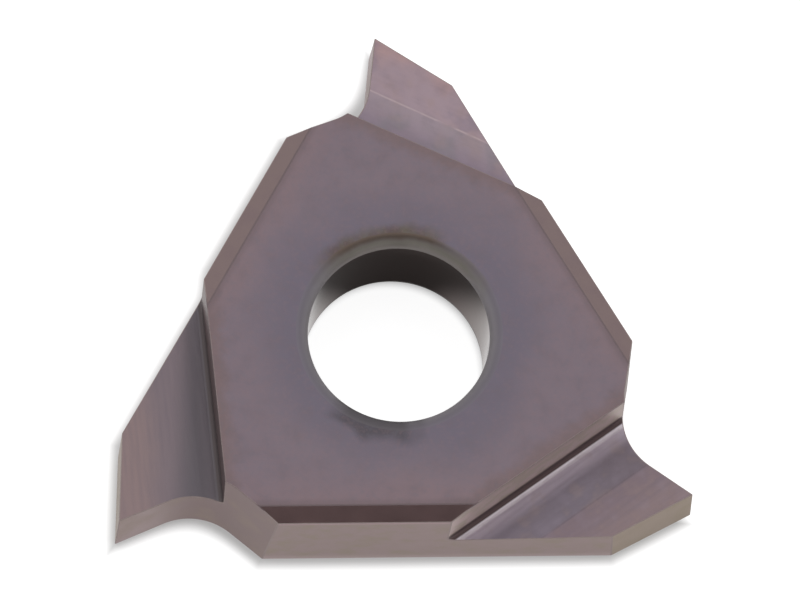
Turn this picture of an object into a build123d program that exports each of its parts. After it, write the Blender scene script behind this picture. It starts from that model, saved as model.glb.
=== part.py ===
from build123d import *
import os
from math import cos, radians, sin, tan

# Three-corner grooving insert that stands upright in its holder. It is pressed and sintered in one
# piece from cemented carbide, and its teeth are ground afterwards. Here it lies on its seat face,
# with the axis of the clamping bore on Z. The three corners are alike, so each cut is made once,
# at the side that faces -Y, and then turned about that axis.

# Blank, in millimetres
corner_count = 3
inscribed_circle = 9.525
thickness = 3.18
land_chamfer_width = 0.42
land_chamfer_depth = 0.15

# Clamping bore, with a rounded rim at both faces
bore_diameter = 4.4
bore_rim_radius = 0.3

# Primary flank, from the heel on a side out to the cutting edge
heel_offset = 5.22
flank_angle = 27.1
flank_length = 2.22
flank_lean = 1.8

# Hook at the seat face: the rake face, the gullet and the notch wall of the next side
rake_angle = 22.9
gullet_radius = 1.54
notch_angle = 40.7
notch_offset = 3.29
hook_lean = 3.2
hook_lean_bearing = 57.4

# Recess that thins each tooth down to the width of the groove that it cuts
groove_width = 1.735
recess_angle = 34.6
recess_wall_distance = 4.56
recess_root_radius = 0.15
recess_rise = 1.7
side_relief_width = 1.33
side_relief_angle = 3.4
floor_relief_angle = 1.7

# How far the grinding wheels run past the blank
overrun = 2.0

turn = 360 / corner_count
side_distance = inscribed_circle / 2


def bearing(angle):
    """Unit vector in the seat face, at this angle from the direction of the first side."""
    return Vector(cos(radians(angle)), sin(radians(angle)))


def leaning(angle, lean):
    """Unit vector that leans from the bore axis by this much, towards this bearing."""
    return bearing(angle) * sin(radians(lean)) + Vector(0, 0, cos(radians(lean)))


# Places at the first side. The tooth at its right end has its heel on the side itself, and the
# tooth at its left end belongs to the side before, so its cutting edge is found by one turn back.
heel = Vector(heel_offset, -side_distance)
cutting_edge = heel + bearing(flank_angle) * flank_length
hooked_edge = cutting_edge.rotate(Axis.Z, -turn)
notch_corner = Vector(-notch_offset, -side_distance)
reach = cutting_edge.length + overrun

# Flank wheel: a flat face that cuts off the blank's sharp corner. It leans in over the insert, so
# the flank stands a little out towards the seat face.
flank_plane = Plane(
    origin=heel,
    x_dir=bearing(flank_angle),
    z_dir=leaning(flank_angle + 90, flank_lean),
)

with BuildPart(flank_plane) as flank_wheel:
    Box(2 * reach, reach, 2 * (thickness + overrun), align=(Align.CENTER, Align.MAX, Align.CENTER))

# Hook wheel: two straight flanks with the gullet's radius between them. It is fed along a line
# that leans, so the rake face and the notch wall stand out towards the seat face as well.
rake_direction = bearing(rake_angle)
notch_direction = bearing(-notch_angle)
across = (notch_corner - hooked_edge).cross(notch_direction).Z
rake_run = across / rake_direction.cross(notch_direction).Z
gullet_corner = hooked_edge + rake_direction * rake_run

with BuildPart() as hook_wheel:
    with BuildSketch() as hook_outline:
        with BuildLine():
            Polyline(
                hooked_edge - rake_direction * overrun,
                gullet_corner,
                notch_corner + notch_direction * overrun,
                close=True,
            )
        make_face()
        fillet(hook_outline.vertices().sort_by(Axis.Y)[-1], radius=gullet_radius)
    extrude(amount=thickness + overrun, dir=leaning(hook_lean_bearing, hook_lean))

# Recess wheel, in section across its path: the upright wall, the root, the floor and the side
# relief, which ends at the cutting edge. Its path climbs a little towards the cutting edge.
recess_outward = bearing(recess_angle - 90)
tooth_overhang = cutting_edge.dot(recess_outward) - recess_wall_distance
ridge_drop = side_relief_width * tan(radians(side_relief_angle))
floor_drop = (tooth_overhang - side_relief_width) * tan(radians(floor_relief_angle))
recess_plane = Plane(
    origin=cutting_edge + Vector(0, 0, groove_width),
    x_dir=recess_outward,
    z_dir=-leaning(recess_angle, 90 - recess_rise),
)

with BuildPart() as recess_wheel:
    with BuildSketch(recess_plane) as recess_section:
        with BuildLine():
            Polyline(
                (overrun, thickness),
                (-tooth_overhang, thickness),
                (-tooth_overhang, -ridge_drop - floor_drop),
                (-side_relief_width, -ridge_drop),
                (overrun, overrun * tan(radians(side_relief_angle))),
                close=True,
            )
        make_face()
        root = recess_section.vertices().group_by(Axis.X)[0].sort_by(Axis.Y)[0]
        fillet(root, radius=recess_root_radius)
    extrude(amount=2 * reach, both=True)

# The insert
with BuildPart() as grooving_insert:
    with BuildSketch():
        RegularPolygon(side_distance, corner_count, major_radius=False, rotation=turn / 2 - 90)
    extrude(amount=thickness)
    top_face = grooving_insert.faces().sort_by(Axis.Z)[-1]
    chamfer(top_face.edges(), length=land_chamfer_width, length2=land_chamfer_depth, reference=top_face)
    Hole(radius=bore_diameter / 2)
    fillet(grooving_insert.edges().filter_by(GeomType.CIRCLE), radius=bore_rim_radius)
    with PolarLocations(radius=0, count=corner_count):
        add(flank_wheel.part, mode=Mode.SUBTRACT)
        add(hook_wheel.part, mode=Mode.SUBTRACT)
        add(recess_wheel.part, mode=Mode.SUBTRACT)

grooving_insert.part.label = "grooving_insert"
os.makedirs("parts", exist_ok=True)
export_step(grooving_insert.part, "parts/grooving_insert.step")
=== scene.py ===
from math import cos, pi, radians, sin, tan

import bmesh
import bpy
from mathutils import Matrix, Vector


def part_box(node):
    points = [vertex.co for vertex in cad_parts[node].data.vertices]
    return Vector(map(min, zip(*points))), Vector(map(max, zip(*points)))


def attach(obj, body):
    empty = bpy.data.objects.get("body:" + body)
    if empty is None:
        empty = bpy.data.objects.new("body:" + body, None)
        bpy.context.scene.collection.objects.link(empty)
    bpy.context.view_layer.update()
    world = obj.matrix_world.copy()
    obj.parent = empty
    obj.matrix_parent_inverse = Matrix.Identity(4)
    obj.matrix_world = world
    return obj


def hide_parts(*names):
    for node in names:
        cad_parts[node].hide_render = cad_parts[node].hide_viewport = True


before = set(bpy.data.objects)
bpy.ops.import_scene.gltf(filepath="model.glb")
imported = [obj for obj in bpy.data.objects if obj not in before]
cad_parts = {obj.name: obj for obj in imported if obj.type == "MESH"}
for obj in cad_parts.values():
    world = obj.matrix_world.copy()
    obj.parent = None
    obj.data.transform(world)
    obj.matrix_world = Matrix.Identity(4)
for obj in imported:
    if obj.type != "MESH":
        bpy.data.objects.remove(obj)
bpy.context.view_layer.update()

# Pressed blank
# The blank is a triangular block of cemented carbide powder, pressed in a die and sintered. The die
# leaves a narrow chamfer along the top of each side.
MILLIMETRE = 0.001  # sizes are in millimetres until the insert is finished
lowest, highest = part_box("grooving_insert")
thickness = (highest.z - lowest.z) / MILLIMETRE
side_distance = -lowest.y / MILLIMETRE
corner_count = 3
turn = 2 * pi / corner_count
land_chamfer_width = 0.42
land_chamfer_depth = 0.15
face_finish = bpy.data.materials.new("coated_face")


def bearing(angle):
    """Unit vector in the seat face, at this angle from the direction of the first side."""
    return Vector((cos(angle), sin(angle), 0))


def stacked(name, rings, finish):
    """Closed shape through rings that hold as many points each, with a flat face at both ends."""
    count = len(rings[0])
    points = [point for ring in rings for point in ring]
    faces = [list(range(count)), list(range(len(points) - count, len(points)))]
    for start in range(0, len(points) - count, count):
        for i in range(count):
            j = (i + 1) % count
            faces.append([start + i, start + j, start + count + j, start + count + i])
    mesh = bpy.data.meshes.new(name)
    mesh.from_pydata(points, [], faces)
    shell = bmesh.new()
    shell.from_mesh(mesh)
    bmesh.ops.recalc_face_normals(shell, faces=shell.faces)
    shell.to_mesh(mesh)
    shell.free()
    mesh.materials.append(finish)
    shape = bpy.data.objects.new(name, mesh)
    bpy.context.scene.collection.objects.link(shape)
    return shape


def triangle(inset, height):
    """Corners of the blank's outline, drawn in by this much, at this height."""
    corner_distance = (side_distance - inset) / cos(turn / 2)
    corners = [bearing(pi / 2 + turn * i) * corner_distance for i in range(corner_count)]
    return [corner + Vector((0, 0, height)) for corner in corners]


insert = stacked(
    "coated_insert",
    [
        triangle(0, 0),
        triangle(0, thickness - land_chamfer_depth),
        triangle(land_chamfer_width, thickness),
    ],
    face_finish,
)

# Clamping bore
# A core rod in the die leaves the bore, and the punches round its rims. The rod is turned about the
# axis from a profile that is wider outside the blank.
bore_radius = 2.2
bore_rim_radius = 0.3
bore_steps = 192
rim_steps = 10
overrun = 2.0
bore_finish = bpy.data.materials.new("coated_bore")


def rim(height, upward):
    """Profile points of a rim, from the face at this height to the bore's wall."""
    return [
        (
            bore_radius + bore_rim_radius * (1 - sin(pi / 2 * i / rim_steps)),
            height + upward * bore_rim_radius * (1 - cos(pi / 2 * i / rim_steps)),
        )
        for i in range(rim_steps + 1)
    ]


profile = [(bore_radius + bore_rim_radius, -overrun)]
profile += rim(0, 1)
profile += rim(thickness, -1)[::-1]
profile += [(bore_radius + bore_rim_radius, thickness + overrun)]
core_rod = stacked(
    "core_rod",
    [
        [bearing(2 * pi * i / bore_steps) * radius + Vector((0, 0, height)) for i in range(bore_steps)]
        for radius, height in profile
    ],
    bore_finish,
)

# Flank wheel
# Three wheels grind each tooth, drawn here at the first side. This one has a flat face that cuts off
# the blank's sharp corner. It leans in over the insert, so the flank stands out towards the seat.
heel_offset = 5.22
flank_angle = radians(27.1)
flank_length = 2.22
flank_lean = radians(1.8)
flank_finish = bpy.data.materials.new("coated_flank")


def leaning(angle, lean):
    """Unit vector that leans from the bore axis by this much, towards this bearing."""
    return bearing(angle) * sin(lean) + Vector((0, 0, cos(lean)))


def wheel(name, outline, run, finish):
    """Closed shape of the room that a wheel's outline sweeps along its run."""
    return stacked(name, [outline, [point + run for point in outline]], finish)


heel = Vector((heel_offset, -side_distance, 0))
cutting_edge = heel + bearing(flank_angle) * flank_length
reach = cutting_edge.length + overrun
flank_up = leaning(flank_angle + pi / 2, flank_lean)
flank_out = bearing(flank_angle).cross(flank_up)
flank_run = bearing(flank_angle) * reach
flank_low = heel - flank_up * overrun
flank_high = heel + flank_up * (thickness + overrun)
flank_wheel = wheel(
    "flank_wheel",
    [
        flank_low - flank_run,
        flank_high - flank_run,
        flank_high - flank_run + flank_out * reach,
        flank_low - flank_run + flank_out * reach,
    ],
    2 * flank_run,
    flank_finish,
)

# Hook wheel
# Two straight sides with a radius between them cut the rake face, the gullet and the notch wall of
# the next side. The wheel is fed along a leaning line, so they too stand out towards the seat.
rake_angle = radians(22.9)
gullet_radius = 1.54
gullet_steps = 28
notch_angle = radians(40.7)
notch_offset = 3.29
hook_lean = radians(3.2)
hook_lean_bearing = radians(57.4)
hook_finish = bpy.data.materials.new("coated_hook")


def rounded(before, corner, after, radius, steps):
    """Points of the arc that rounds a corner between its two straight runs."""
    towards = (before - corner).normalized()
    away = (after - corner).normalized()
    half = towards.angle(away) / 2
    centre = corner + (towards + away).normalized() * radius / sin(half)
    first = (corner + towards * radius / tan(half) - centre).normalized()
    last = (corner + away * radius / tan(half) - centre).normalized()
    return [centre + first.slerp(last, i / steps) * radius for i in range(steps + 1)]


hooked_edge = Matrix.Rotation(-turn, 3, "Z") @ cutting_edge
notch_corner = Vector((-notch_offset, -side_distance, 0))
rake_direction = bearing(rake_angle)
notch_direction = bearing(-notch_angle)
rake_run = (notch_corner - hooked_edge).cross(notch_direction).z / rake_direction.cross(notch_direction).z
gullet_corner = hooked_edge + rake_direction * rake_run
rake_start = hooked_edge - rake_direction * overrun
notch_end = notch_corner + notch_direction * overrun
hook_feed = leaning(hook_lean_bearing, hook_lean)
hook_outline = [
    rake_start,
    *rounded(rake_start, gullet_corner, notch_end, gullet_radius, gullet_steps),
    notch_end,
]
hook_wheel = wheel(
    "hook_wheel",
    [point - hook_feed * overrun for point in hook_outline],
    hook_feed * (thickness + 2 * overrun),
    hook_finish,
)

# Recess wheel
# It thins the tooth to the width of its groove. In section it is an upright wall, a root, a floor
# and a side relief that meet in a ridge. Its path climbs a little towards the cutting edge.
groove_width = 1.735
recess_angle = radians(34.6)
recess_wall_distance = 4.56
recess_root_radius = 0.15
root_steps = 8
recess_rise = radians(1.7)
side_relief_width = 1.33
side_relief_angle = radians(3.4)
floor_relief_angle = radians(1.7)
recess_finish = bpy.data.materials.new("coated_recess")
recess_out = bearing(recess_angle - pi / 2)
recess_path = leaning(recess_angle, pi / 2 - recess_rise)
recess_up = recess_out.cross(recess_path)
edge_line = cutting_edge + Vector((0, 0, groove_width))
tooth_overhang = cutting_edge.dot(recess_out) - recess_wall_distance
ridge_drop = side_relief_width * tan(side_relief_angle)
floor_drop = (tooth_overhang - side_relief_width) * tan(floor_relief_angle)


def across_recess(out, up):
    """Point of the recess wheel's section, counted from the cutting edge."""
    return edge_line + recess_out * out + recess_up * up


wall_top = across_recess(-tooth_overhang, thickness)
root = across_recess(-tooth_overhang, -ridge_drop - floor_drop)
ridge = across_recess(-side_relief_width, -ridge_drop)
recess_outline = [
    across_recess(overrun, thickness),
    wall_top,
    *rounded(wall_top, root, ridge, recess_root_radius, root_steps),
    ridge,
    across_recess(overrun, overrun * tan(side_relief_angle)),
]
recess_run = recess_path * reach * 2
recess_wheel = wheel(
    "recess_wheel",
    [point - recess_run for point in recess_outline],
    2 * recess_run,
    recess_finish,
)

# Grinding round the bore
# The insert is indexed round its bore, so that each wheel meets every corner in turn. Where a wheel
# has cut, its own finish stays on the faces that it leaves.
class Socket:
    """A value in a network, with which sums and products can be written out."""

    def __init__(self, tree, output):
        self.tree = tree
        self.output = output

    def node(self, kind, settings=None, sockets=None, output=0):
        """Adds a node: its type, then its settings, then the values or links of its sockets."""
        made = self.tree.nodes.new(kind)
        for name, value in (settings or {}).items():
            if name == "stops":
                while len(made.color_ramp.elements) < len(value):
                    made.color_ramp.elements.new(1)
                for element, (position, colour) in zip(made.color_ramp.elements, value):
                    element.position = position
                    element.color = colour
            else:
                setattr(made, name, value)
        for name, value in (sockets or {}).items():
            if isinstance(value, Socket):
                self.tree.links.new(value.output, made.inputs[name])
            else:
                made.inputs[name].default_value = value
        return Socket(self.tree, made.outputs[output])

    def maths(self, operation, *values):
        """A sum, product or other operation on one value or more."""
        sockets = dict(enumerate(values))
        return self.node("ShaderNodeMath", {"operation": operation}, sockets)

    def __add__(self, other):
        return self.maths("ADD", self, other)

    def __radd__(self, other):
        return self.maths("ADD", other, self)

    def __sub__(self, other):
        return self.maths("SUBTRACT", self, other)

    def __rsub__(self, other):
        return self.maths("SUBTRACT", other, self)

    def __mul__(self, other):
        return self.maths("MULTIPLY", self, other)

    def __rmul__(self, other):
        return self.maths("MULTIPLY", other, self)

    def __truediv__(self, other):
        return self.maths("DIVIDE", self, other)

    def __rtruediv__(self, other):
        return self.maths("DIVIDE", other, self)


indexing = bpy.data.node_groups.new("index_and_grind", "GeometryNodeTree")
for name, kind in (
    ("Blank", "NodeSocketGeometry"),
    ("Wheel", "NodeSocketObject"),
    ("Stations", "NodeSocketInt"),
    ("Ground finish", "NodeSocketMaterial"),
):
    indexing.interface.new_socket(name, in_out="INPUT", socket_type=kind)
indexing.interface.new_socket("Ground blank", in_out="OUTPUT", socket_type="NodeSocketGeometry")
given = {
    output.name: Socket(indexing, output)
    for output in indexing.nodes.new("NodeGroupInput").outputs
}
stations = given["Stations"]
station_turn = stations.node("GeometryNodeInputIndex") * (2 * pi / stations)
placed = stations.node(
    "GeometryNodeInstanceOnPoints",
    {},
    {
        "Points": stations.node("GeometryNodePoints", {}, {"Count": stations}),
        "Instance": stations.node("GeometryNodeObjectInfo", {}, {"Object": given["Wheel"]}, "Geometry"),
        "Rotation": stations.node("ShaderNodeCombineXYZ", {}, {"Z": station_turn}),
    },
)
realized = placed.node("GeometryNodeRealizeInstances", {}, {"Geometry": placed})
finished = realized.node(
    "GeometryNodeSetMaterial",
    {},
    {"Geometry": realized, "Material": given["Ground finish"]},
)
ground = finished.node(
    "GeometryNodeMeshBoolean",
    {"operation": "DIFFERENCE", "solver": "EXACT"},
    {"Mesh 1": given["Blank"], "Mesh 2": finished},
)
indexing.links.new(ground.output, indexing.nodes.new("NodeGroupOutput").inputs[0])

inputs = {
    item.name: item.identifier
    for item in indexing.interface.items_tree
    if item.in_out == "INPUT"
}
for tool, stations_used in (
    (core_rod, 1),
    (flank_wheel, corner_count),
    (hook_wheel, corner_count),
    (recess_wheel, corner_count),
):
    cut = insert.modifiers.new(tool.name, "NODES")
    cut.node_group = indexing
    cut[inputs["Wheel"]] = tool
    cut[inputs["Stations"]] = stations_used
    cut[inputs["Ground finish"]] = tool.active_material

# Honed edges
# Brushing after grinding takes the sharpness off every edge. The coating that goes over the
# rounding is thin, and it is duller there than on the faces.
edge_radius = 0.022
edge_steps = 2
edge_limit = radians(15)
weld_distance = 1e-5
flat_limit = radians(0.05)
large_face_weight = 100
edge_finish = bpy.data.materials.new("coated_edge")


def baked(shape):
    """Replaces an object's mesh with what its modifiers make of it, and removes them."""
    view = bpy.context.evaluated_depsgraph_get()
    shape.data = bpy.data.meshes.new_from_object(shape.evaluated_get(view), depsgraph=view)
    shape.modifiers.clear()


baked(insert)
for tool in (core_rod, flank_wheel, hook_wheel, recess_wheel):
    bpy.data.objects.remove(tool)

shell = bmesh.new()
shell.from_mesh(insert.data)
bmesh.ops.remove_doubles(shell, verts=shell.verts, dist=weld_distance)
bmesh.ops.dissolve_limit(
    shell,
    angle_limit=flat_limit,
    verts=shell.verts,
    edges=shell.edges,
    delimit={"MATERIAL"},
)
shell.to_mesh(insert.data)
shell.free()

insert.data.materials.append(edge_finish)
honed = insert.modifiers.new("honed_edges", "BEVEL")
honed.material = len(insert.data.materials) - 1
honed.width = edge_radius
honed.segments = edge_steps
honed.limit_method = "ANGLE"
honed.angle_limit = edge_limit
honed.use_clamp_overlap = False
insert.data.shade_smooth()
even = insert.modifiers.new("flat_faces", "WEIGHTED_NORMAL")
even.weight = large_face_weight
even.keep_sharp = True
baked(insert)
insert.data.transform(Matrix.Scale(MILLIMETRE, 4))
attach(insert, "root")
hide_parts("grooving_insert")

# Coating
# A hard nitride coating, a few thousandths of a millimetre thick, is laid over the insert in a
# vacuum. It is a satin mauve, and follows the texture that pressing and grinding have left.
coat_metal = 0.9
coat_sheen = 0.66
coat_gloss = 0.3
sheen_tint = (1, 0.96, 0.95)


def place_in(material):
    """The place on the insert, in millimetres, as a value in this material."""
    material.use_nodes = True
    tree = material.node_tree
    coordinates = Socket(tree, tree.nodes.new("ShaderNodeTexCoord").outputs["Object"])
    return coordinates.node(
        "ShaderNodeVectorMath",
        {"operation": "SCALE"},
        {"Vector": coordinates, "Scale": 1 / MILLIMETRE},
    )


def vector_maths(operation, first, second):
    """Sum or product of two vectors, part by part."""
    return first.node("ShaderNodeVectorMath", {"operation": operation}, {0: first, 1: second})


def part_of(place, direction):
    """How far a place lies along a direction."""
    settings = {"operation": "DOT_PRODUCT"}
    return place.node("ShaderNodeVectorMath", settings, {0: place, 1: direction}, "Value")


def from_upright(place, foot=(0, 0, 0)):
    """How far a place lies from the upright line through this foot."""
    apart = vector_maths("MULTIPLY", vector_maths("SUBTRACT", place, foot), (1, 1, 0))
    return apart.node("ShaderNodeVectorMath", {"operation": "LENGTH"}, {0: apart}, "Value")


def furthest(place, angle):
    """How far a place lies along this bearing, or along the same bearing of another corner."""
    first, second, third = (part_of(place, bearing(angle + turn * i)) for i in range(corner_count))
    return place.maths("MAXIMUM", first, place.maths("MAXIMUM", second, third))


def fade(value, low, high):
    """Nothing below the low value, everything above the high one, and smooth between them."""
    return value.node(
        "ShaderNodeMapRange",
        {"interpolation_type": "SMOOTHSTEP"},
        {"Value": value, "From Min": low, "From Max": high},
    )


def noise(place, scale, detail):
    """Cloudy variation from nothing to one, with about this many clouds to a millimetre."""
    return place.node("ShaderNodeTexNoise", {}, {"Vector": place, "Scale": scale, "Detail": detail})


def uneven(value, pattern, amount):
    """A value that a pattern raises here and lowers there, so that what it bounds is ragged."""
    return value + amount * (pattern - 0.5)


def paint(*colour):
    """A colour with nothing see-through in it."""
    return (*colour, 1)


def mixed(first, second, amount):
    """A colour between two colours."""
    return amount.node(
        "ShaderNodeMix",
        {"data_type": "RGBA"},
        {"Factor": amount, 6: first, 7: second},
        output=2,
    )


def lay(material, colour, roughness, texture, depth, metal=coat_metal, sheen=coat_sheen):
    """Sets a material's coating: its colour, its sheen, and the texture below it with its depth."""
    shader = material.node_tree.nodes["Principled BSDF"]
    shader.inputs["Specular Tint"].default_value = paint(*(sheen * part for part in sheen_tint))
    shader.inputs["Specular IOR Level"].default_value = coat_gloss * sheen
    bump = texture.node("ShaderNodeBump", {}, {"Height": texture, "Distance": depth * MILLIMETRE})
    for name, value in (
        ("Base Color", colour),
        ("Roughness", roughness),
        ("Metallic", metal),
        ("Normal", bump),
    ):
        if isinstance(value, Socket):
            material.node_tree.links.new(value.output, shader.inputs[name])
        else:
            shader.inputs[name].default_value = value


# Coating on the pressed faces
# The top, the seat and the side lands keep the fine grain of pressed and lapped carbide. The coating
# is bluish round the bore, browner at the edges, and tan on the lands, with paler rims of painted
# highlight.
bluish_mauve = paint(0.161, 0.138, 0.173)
mauve = paint(0.2, 0.158, 0.184)
brownish_mauve = paint(0.218, 0.162, 0.179)
recess_side_brown = paint(0.192, 0.141, 0.147)
dark_patch_bearing = radians(-106)
dark_patch_grey = paint(0.085, 0.076, 0.086)
stain_bearing = radians(101)
stain_brown = paint(0.105, 0.074, 0.064)
stain_olive = paint(0.118, 0.1, 0.062)
dusky_mauve = paint(0.17, 0.14, 0.16)
warm_speck = paint(0.235, 0.165, 0.175)
cool_speck = paint(0.15, 0.15, 0.18)
chamfer_side_brown = paint(0.165, 0.125, 0.134)
chamfer_rose = paint(0.25, 0.187, 0.184)
chamfer_brown = paint(0.24, 0.178, 0.18)
first_chamfer_red = paint(0.285, 0.187, 0.186)
land_tan = paint(0.303, 0.233, 0.229)
land_olive = paint(0.288, 0.235, 0.2)
rim_highlight_pink = paint(0.4, 0.28, 0.305)
foot_highlight_pink = paint(0.385, 0.305, 0.305)
grain_depth = 0.0015


def dark_patch_beside_bore(place, from_axis):
    """Where a ragged darker patch lies along one part of the bore."""
    ragged = noise(place, 1.3, 1)
    facing = uneven(part_of(place, bearing(dark_patch_bearing)) / from_axis, ragged, 0.2)
    return fade(facing, 0.84, 0.97) * (1 - fade(uneven(from_axis, ragged, 0.6), 2.58, 2.9))


def stain_beside_bore(place, from_axis):
    """Where a stain lies: opposite the darker patch, thinning out from the rim of the bore."""
    ragged = noise(place, 1.5, 2)
    facing = uneven(part_of(place, bearing(stain_bearing)) / from_axis, ragged, 0.3)
    return fade(facing, 0.72, 0.92) * (1 - fade(uneven(from_axis, ragged, 0.5), 2.5, 2.84))


place = place_in(face_finish)
height = part_of(place, (0, 0, 1))
from_axis = from_upright(place)
to_side = furthest(place, -pi / 2)
to_recess = furthest(place, recess_angle - pi / 2)
clouds = noise(place, 0.55, 4)
mottle = noise(place, 2.2, 3)
speckle = noise(place, 9, 2)
grain = noise(place, 42, 2)
land_top = thickness - land_chamfer_depth
chamfer_inner = side_distance - land_chamfer_width
on_top = fade(height, land_top - 0.02, land_top + 0.01)

face = mixed(bluish_mauve, mauve, fade(uneven(from_axis, clouds, 1.6), 2.6, 4.0))
face = mixed(face, brownish_mauve, fade(uneven(to_side, clouds, 1.5), 3.4, 4.3))
beside_recess = on_top * fade(uneven(to_recess, mottle, 0.5), 4.1, 4.5)
face = mixed(face, recess_side_brown, beside_recess)
face = mixed(face, dark_patch_grey, 0.85 * on_top * dark_patch_beside_bore(place, from_axis))
stain = mixed(stain_brown, stain_olive, fade(mottle, 0.38, 0.62))
face = mixed(face, stain, 0.8 * on_top * stain_beside_bore(place, from_axis))
face = mixed(face, dusky_mauve, 0.35 * fade(mottle, 0.45, 0.8))
face = mixed(face, warm_speck, 0.16 * fade(speckle, 0.5, 0.7))
face = mixed(face, cool_speck, 0.16 * (1 - fade(speckle, 0.3, 0.5)))
beside_chamfer = on_top * fade(to_side, chamfer_inner - 0.2, chamfer_inner - 0.04)
face = mixed(face, chamfer_side_brown, 0.5 * beside_chamfer)

chamfer = mixed(chamfer_rose, chamfer_brown, fade(mottle, 0.4, 0.7))
first_side = fade(part_of(place, bearing(-pi / 2)), 4, 4.2)
chamfer = mixed(chamfer, first_chamfer_red, first_side)
on_chamfer = on_top * fade(to_side, chamfer_inner, chamfer_inner + 0.03)
face = mixed(face, chamfer, on_chamfer)

land = mixed(land_tan, land_olive, fade(mottle, 0.4, 0.72))
# The paler bands at the top and at the foot of each land are painted highlight
land = mixed(land, rim_highlight_pink, fade(height, land_top - 0.12, land_top - 0.05))
land = mixed(foot_highlight_pink, land, fade(height, 0, 0.4))
on_land = (1 - on_top) * fade(to_side, side_distance - 0.03, side_distance - 0.01)
colour = mixed(face, land, on_land)
roughness = 0.33 + 0.1 * mottle - 0.05 * on_chamfer
lay(face_finish, colour, roughness, grain + 0.4 * mottle, grain_depth)

# Coating in the bore
# The bore and its rims stay as sintered, and are coarser than the ground faces. The wall is painted
# a dark brown, painted shade for the shadow down the bore. Brown and olive stains lie on one side of the
# rim.
rim_mauve = paint(0.167, 0.15, 0.177)
rim_grey = paint(0.33, 0.308, 0.325)
rim_stain_brown = paint(0.118, 0.086, 0.066)
rim_dark_patch_grey = paint(0.11, 0.1, 0.108)
shadowed_wall_brown = paint(0.068, 0.045, 0.04)
rim_stain = [
    (0.0, paint(0.16, 0.138, 0.15)),
    (0.25, paint(0.185, 0.165, 0.16)),
    (0.5, paint(0.205, 0.19, 0.165)),
    (0.9, paint(0.36, 0.325, 0.31)),
]
rim_sheen = 0.85
sintered_depth = 0.002

place = place_in(bore_finish)
height = part_of(place, (0, 0, 1))
from_axis = from_upright(place)
mottle = noise(place, 1.6, 3)
grain = noise(place, 30, 3)
below_face = place.maths("MINIMUM", height, thickness - height)
down_rim = (below_face + bore_radius + bore_rim_radius - from_axis) / (2 * bore_rim_radius)
ragged_down = uneven(down_rim, mottle, 0.4)
on_rim = fade(down_rim, 0, 0.4)
on_wall = fade(down_rim, 0.99, 1.1)

stain = ragged_down.node("ShaderNodeValToRGB", {"stops": rim_stain}, {"Fac": ragged_down})
brown = stain_beside_bore(place, from_axis) * (1 - fade(ragged_down, 0.1, 0.5))
stain = mixed(stain, rim_stain_brown, 0.85 * brown)
stained = fade(uneven(part_of(place, (0.1, 1, 0)), mottle, 0.8), 0.9, 1.9)
colour = mixed(rim_mauve, rim_grey, fade(down_rim, 0, 0.85))
colour = mixed(colour, stain, stained)
dark_patch = dark_patch_beside_bore(place, from_axis) * fade(height, 1, 2)
colour = mixed(colour, rim_dark_patch_grey, 0.85 * dark_patch)
# The wall is painted dark brown as painted shade down the bore
colour = mixed(colour, shadowed_wall_brown, on_wall)
roughness = 0.35 + 0.15 * on_rim + 0.1 * mottle - 0.44 * on_wall
metal = coat_metal - 0.6 * on_rim + 0.65 * on_wall
lay(bore_finish, colour, roughness, grain * (1 - 0.9 * on_wall), sintered_depth, metal, rim_sheen)

# Coating on the ground flanks
# The wheel crosses each flank along its length and leaves fine lines there. The coating over them
# is tan, with olive patches. No two corners have the same lines and patches.
flank_tan = paint(0.305, 0.243, 0.194)
flank_olive = paint(0.29, 0.235, 0.175)
flank_stretch = (0.6, 0.6, 30)
line_depth = 0.0015
first_corner_start = radians(-100)
corner_shift = 7.3


def at_first_corner(place, shift=0):
    """The place turned back to the first corner, and moved up by this much for each corner."""
    x = part_of(place, (1, 0, 0))
    y = part_of(place, (0, 1, 0))
    corner = place.maths("FLOOR", (place.maths("ARCTAN2", y, x) - first_corner_start) / turn)
    back = place.node(
        "ShaderNodeVectorRotate",
        {"rotation_type": "Z_AXIS"},
        {"Vector": place, "Angle": corner * -turn},
    )
    return vector_maths("ADD", back, place.node("ShaderNodeCombineXYZ", {}, {"Z": corner * shift}))


place = at_first_corner(place_in(flank_finish), corner_shift)
lines = noise(vector_maths("MULTIPLY", place, flank_stretch), 1, 2)
patches = noise(place, 1.5, 3)
colour = mixed(flank_tan, flank_olive, fade(patches, 0.4, 0.7))
lay(flank_finish, colour, 0.3 + 0.1 * patches, lines, line_depth)

# Coating on the ground hooks
# The hook wheel plunges down through the insert, so its lines run from the top to the seat. The
# coating is a paler tan on the rake face, and greyer in the gullet.
gullet_grey = paint(0.24, 0.183, 0.182)
rake_tan = paint(0.37, 0.292, 0.295)
hook_olive = paint(0.3, 0.24, 0.205)
hook_stretch = (24, 24, 0.5)

place = place_in(hook_finish)
towards_tip = fade(from_upright(place), 6.0, 7.4)
place = at_first_corner(place, corner_shift)
lines = noise(vector_maths("MULTIPLY", place, hook_stretch), 1, 2)
patches = noise(place, 1.2, 3)
colour = mixed(gullet_grey, rake_tan, towards_tip)
colour = mixed(colour, hook_olive, 0.65 * fade(patches, 0.38, 0.78))
lay(hook_finish, colour, 0.3 + 0.12 * patches, lines, line_depth)

# Coating on the ground recesses
# The recess wheel runs along the tooth, and its lines with it. The coating is lavender on the floor
# and pinker on the side relief. One recess is slate grey, partly its coating and partly painted shade
# from its wall, and another is palest.
floor_lavender = paint(0.176, 0.147, 0.175)
floor_dusk = paint(0.155, 0.126, 0.146)
relief_mauve = paint(0.2, 0.152, 0.17)
relief_pink = paint(0.23, 0.172, 0.178)
beside_wall_highlight = paint(0.56, 0.48, 0.56)
root_highlight = paint(0.85, 0.77, 0.83)
ridge_dark = paint(0.12, 0.095, 0.11)
lavender_patch = paint(0.3, 0.25, 0.31)
brown_patch = paint(0.3, 0.22, 0.2)
streak_mauve = paint(0.17, 0.145, 0.175)
shadowed_recess_bearing = radians(210)
pale_bearing = radians(90)
recess_depth = 0.002
lines_along = 0.7
lines_across = 11

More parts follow.
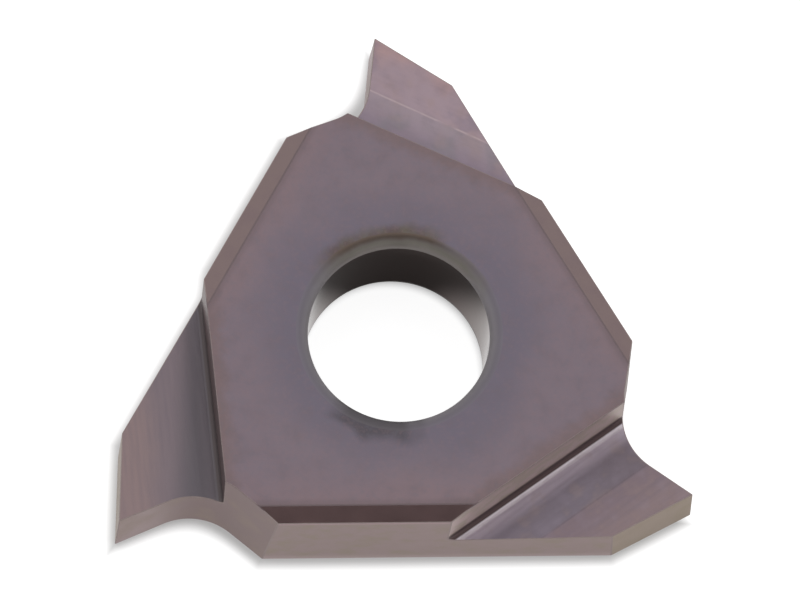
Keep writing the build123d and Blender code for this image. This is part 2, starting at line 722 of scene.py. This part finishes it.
place = place_in(recess_finish)
height = part_of(place, (0, 0, 1))
above_root = part_of(at_first_corner(place), recess_up) - root.dot(recess_up)
from_wall = furthest(place, recess_angle - pi / 2) - recess_wall_distance
shadowed_recess = fade(part_of(place, bearing(shadowed_recess_bearing)), 2.5, 3.5)
pale_recess = fade(part_of(place, bearing(pale_bearing)), 2.5, 3.5)
place = at_first_corner(place, corner_shift)
along = part_of(place, bearing(recess_angle))
shifted_height = part_of(place, (0, 0, 1))
run = place.node(
    "ShaderNodeCombineXYZ",
    {},
    {"X": along * lines_along, "Y": from_wall * lines_across, "Z": shifted_height * lines_across},
)
lines = noise(run, 1, 4)
fine_lines = noise(run, 6, 2)
patches = noise(place, 1.1, 3)
mottle = noise(place, 2.4, 3)
streaks = lines + 0.65 * pale_recess * (noise(place, 3.2, 4) - lines)
to_ridge = tooth_overhang - side_relief_width
outside_ridge = fade(from_wall, to_ridge - 0.06, to_ridge + 0.06)
on_ridge = 1 - fade(place.maths("ABSOLUTE", from_wall - to_ridge), 0.0, 0.04)

floor = mixed(floor_lavender, floor_dusk, fade(along, 1.4, 2.8))
relief = mixed(relief_mauve, relief_pink, fade(from_wall, 1.5, 2.3))
colour = mixed(floor, relief, outside_ridge)
# Beside each wall the floor is painted pale, and along the root bright: painted highlight where the floor
# catches the light
colour = mixed(beside_wall_highlight, colour, fade(from_wall, 0.15, 0.66))
colour = mixed(root_highlight, colour, fade(from_wall, 0.17, 0.24))
colour = mixed(colour, ridge_dark, 0.5 * on_ridge * fade(patches, 0.3, 0.5))

# The palest recess has soft blotches, and a pale line along its ridge, which is painted highlight
pale_root = paint(0.22, 0.172, 0.212)
pale_floor = paint(0.3, 0.24, 0.268)
pale_relief = paint(0.33, 0.25, 0.278)
pale_tip = paint(0.38, 0.256, 0.256)
pale_grey_patch = paint(0.2, 0.19, 0.205)
pale_mauve_patch = paint(0.22, 0.18, 0.23)
pale_ridge_highlight = paint(0.44, 0.345, 0.36)
pale = mixed(pale_root, pale_floor, fade(from_wall, 0.35, 1.25))
pale = mixed(pale, pale_relief, outside_ridge)
pale = mixed(pale, pale_tip, fade(uneven(from_wall, patches, 1.2), 1.8, 2.5))
pale = mixed(pale, pale_grey_patch, 0.5 * fade(patches, 0.5, 0.68) * (1 - outside_ridge))
pale = mixed(pale, pale_mauve_patch, 0.45 * fade(patches, 0.52, 0.66) * outside_ridge)
pale = mixed(pale, pale_ridge_highlight, on_ridge * fade(streaks, 0.36, 0.56))
colour = mixed(colour, pale, pale_recess)
colour = mixed(colour, lavender_patch, 0.17 * fade(mottle, 0.4, 0.75))
colour = mixed(colour, brown_patch, 0.22 * (1 - fade(mottle, 0.3, 0.5)))

# The shadowed recess is slate grey, partly its coating and partly painted shade from its wall: darkest in
# the corner by its wall, and brown towards the cutting edge
corner_shade_slate = paint(0.128, 0.113, 0.126)
shadowed_floor_slate = paint(0.193, 0.155, 0.171)
shadowed_tip_brown = paint(0.24, 0.178, 0.18)
shadowed_beside_wall = paint(0.188, 0.164, 0.183)
shadowed_root = paint(0.155, 0.137, 0.15)
shadowed_colour = mixed(corner_shade_slate, shadowed_floor_slate, fade(from_wall - 0.15 * along, 0.2, 0.95))
shadowed_colour = mixed(shadowed_colour, shadowed_tip_brown, fade(uneven(from_wall, patches, 0.5), 1.2, 2.0))
shadowed_colour = mixed(shadowed_beside_wall, shadowed_colour, fade(from_wall, 0.2, 0.5))
shadowed_colour = mixed(shadowed_root, shadowed_colour, fade(from_wall, 0.12, 0.2))
colour = mixed(colour, shadowed_colour, shadowed_recess)
colour = mixed(colour, streak_mauve, 0.16 * fade(streaks, 0.4, 0.7))

# Each wall is tan with olive patches, and nearly black at its foot, which is painted shade; in the
# shadowed recess the whole wall is painted dark as shade
wall_tan = paint(0.42, 0.32, 0.315)
wall_pale = paint(0.54, 0.41, 0.4)
wall_olive = paint(0.43, 0.36, 0.29)
shadowed_wall_dark = paint(0.14, 0.1, 0.1)
foot_shade_brown = paint(0.1, 0.068, 0.069)
shadowed_foot_dark = paint(0.12, 0.1, 0.102)
wall = mixed(wall_tan, wall_pale, fade(thickness - height, 0.03, 0.3))
wall = mixed(wall, wall_olive, 0.6 * fade(mottle, 0.42, 0.6))
wall = mixed(wall, shadowed_wall_dark, shadowed_recess)
foot = mixed(foot_shade_brown, shadowed_foot_dark, shadowed_recess)
wall = mixed(foot, wall, fade(above_root, 0.18, 0.38))
colour = mixed(wall, colour, fade(from_wall, 0.08, 0.12))
metal = 0.35 + 0.55 * fade(from_wall, 0.15, 0.6)
texture = streaks + 0.5 * fine_lines
lay(recess_finish, colour, 0.28 + 0.14 * streaks, texture, recess_depth, metal)

# Coating on the honed edges
# The coating is thin over the rounded edges, a brown-grey with little sheen. It is darker round the
# top face, and darkest where that face meets the chamfers of the lands.
edge_brown = paint(0.33, 0.265, 0.26)
edge_tan = paint(0.385, 0.315, 0.3)
top_edge_brown = paint(0.29, 0.23, 0.23)
chamfer_edge_brown = paint(0.2, 0.153, 0.16)
edge_metal = 0.35
edge_depth = 0.001

place = place_in(edge_finish)
mottle = noise(place, 3, 3)
on_top = fade(part_of(place, (0, 0, 1)), thickness - 0.06, thickness - 0.03)
beside_chamfer = on_top * fade(furthest(place, -pi / 2), chamfer_inner - 0.06, chamfer_inner - 0.02)
colour = mixed(edge_brown, edge_tan, mottle)
colour = mixed(colour, top_edge_brown, on_top)
colour = mixed(colour, chamfer_edge_brown, beside_chamfer)
lay(edge_finish, colour, 0.55 + 0.1 * mottle, mottle, edge_depth, edge_metal)

# Table
# The insert lies on white paper that has no edge in view, and that its bright faces mirror. A thin
# shadow runs along its foot, wider beside the far tooth, and the paper in the bore is shaded.
table_size = 1.5
paper_grey = paint(0.5, 0.5, 0.5)
paper_light = paint(1, 1, 1)
mirrored_glow = 0.75
shadow_glow = 0.24
open_glow = 0.66
shadow_edge = 0.2
side_shadow = (0.42, 0.2, 0)
tooth_shadow = (0.11, 0.2, 0)
flank_shadow_width = 0.05
far_side_width = 0.24
far_flank_width = 0.25
far_hook_width = 0.9
gullet_softness = 1.4
bore_shade = 0.92
bore_shade_centre = (-0.06, -0.06, 0)
bore_shade_margin = 0.1

table_mesh = bpy.data.meshes.new("table")
table_mesh.from_pydata(
    [(x * table_size, y * table_size, 0) for x, y in ((-1, -1), (1, -1), (1, 1), (-1, 1))],
    [],
    [(0, 1, 2, 3)],
)
table = bpy.data.objects.new("table", table_mesh)
bpy.context.scene.collection.objects.link(table)
paper = bpy.data.materials.new("paper")
table_mesh.materials.append(paper)


def beyond(place, start, direction):
    """How far a place lies to the right of a line, and of the same line at each other corner."""
    right = direction.cross(Vector((0, 0, 1)))
    return [
        part_of(place, Matrix.Rotation(turn * i, 3, "Z") @ right) - start.dot(right)
        for i in range(corner_count)
    ]


place = place_in(paper)
across = part_of(place, (1, 0, 0))
back = part_of(place, (0, 1, 0))
inside_bore = bore_radius + bore_shade_margin - from_upright(place, bore_shade_centre)
shaded_bore = fade(inside_bore, 0, bore_shade_margin) * fade(back, 0.5, 1.4)
shaded_bore = shaded_bore * (1 - fade(place.maths("ABSOLUTE", across), 0.8, 1.9))
far_tooth = fade(back, 1.8, 2.7)
past_sides = beyond(vector_maths("ADD", place, side_shadow), heel, bearing(0))
place = vector_maths("ADD", place, tooth_shadow)
past_flanks = beyond(place, heel, bearing(flank_angle))
past_rakes = beyond(place, hooked_edge, rake_direction)
past_notches = beyond(place, notch_corner, notch_direction)
off_foot = inside_bore
for past_side in past_sides:
    past_shadow = past_side - far_side_width * far_tooth
    off_foot = place.maths("MAXIMUM", off_foot, past_shadow)
for past_flank in past_flanks:
    past_shadow = past_flank - flank_shadow_width - far_flank_width * far_tooth
    off_foot = place.maths("MAXIMUM", off_foot, past_shadow)
for past_rake, past_notch in zip(past_rakes, past_notches):
    past_notch = past_notch - far_hook_width * far_tooth
    past_shadow = place.maths("SMOOTH_MIN", past_rake, past_notch, gullet_softness)
    off_foot = place.maths("MAXIMUM", off_foot, past_shadow)

paper_shader = paper.node_tree.nodes["Principled BSDF"]
paper_shader.inputs["Base Color"].default_value = paper_grey
paper_shader.inputs["Roughness"].default_value = 1
paper_shader.inputs["Specular IOR Level"].default_value = 0
paper_shader.inputs["Emission Color"].default_value = paper_light
seen = place.node("ShaderNodeLightPath", output="Is Camera Ray")
mirrored = place.node("ShaderNodeLightPath", output="Is Glossy Ray")
seen_glow = shadow_glow + open_glow * fade(off_foot, -shadow_edge, shadow_edge)
glow = mirrored_glow * mirrored * (1 - bore_shade * shaded_bore) + seen * seen_glow
paper.node_tree.links.new(glow.output, paper_shader.inputs["Emission Strength"])

# Studio light
# A large soft lamp hangs over the insert, a little behind it, and pale walls stand all round. The
# side from which the insert is looked at stays dark, as round a lens.
overhead = Vector((0.07, 0.16, 0.98)).normalized()
lens_side = Vector((0.05, -0.45, 0.89)).normalized()
lamp_edge = radians(40)
lamp_core = radians(14)
lens_edge = radians(31)
lens_core = radians(16)
wall_strength = 0.8
lamp_strength = 0.4
lens_darkness = 0.95


def within(direction, centre, outer, inner):
    """Everything within the inner angle from the centre, and nothing beyond the outer one."""
    return fade(part_of(direction, centre), cos(outer), cos(inner))


studio = bpy.data.worlds.new("studio")
studio.use_nodes = True
tree = studio.node_tree
direction = Socket(tree, tree.nodes.new("ShaderNodeTexCoord").outputs["Generated"])
lamp = within(direction, overhead, lamp_edge, lamp_core)
shade = within(direction, lens_side, lens_edge, lens_core)
strength = (wall_strength + lamp_strength * lamp) * (1 - lens_darkness * shade)
seen = direction.node("ShaderNodeLightPath", output="Is Camera Ray")
strength = seen + (1 - seen) * strength
backdrop = tree.nodes["Background"]
backdrop.inputs["Color"].default_value = paint(1, 1, 1)
tree.links.new(strength.output, backdrop.inputs["Strength"])
bpy.context.scene.world = studio

# Camera
# A long lens looks down at the insert from just in front of it, a little to the left, and the
# camera is turned a little about its line of sight.
sensor_width = 36
focal_length = 355.8
nearest_seen = 0.01
furthest_seen = 10
view_azimuth = radians(-12.06)
view_elevation = radians(71.89)
view_roll = radians(11.03)
view_distance = 0.19346
aim = Vector((0.2126, 1.6343, 0.5371)) * MILLIMETRE
lens = bpy.data.cameras.new("camera")
lens.sensor_width = sensor_width
lens.lens = focal_length
lens.clip_start = nearest_seen
lens.clip_end = furthest_seen
camera = bpy.data.objects.new("camera", lens)
bpy.context.scene.collection.objects.link(camera)
turned = (
    Matrix.Rotation(view_azimuth, 4, "Z")
    @ Matrix.Rotation(pi / 2 - view_elevation, 4, "X")
    @ Matrix.Rotation(view_roll, 4, "Z")
)
camera.matrix_world = Matrix.Translation(aim) @ turned @ Matrix.Translation((0, 0, view_distance))
bpy.context.scene.camera = camera
bpy.context.scene.view_settings.view_transform = "Standard"
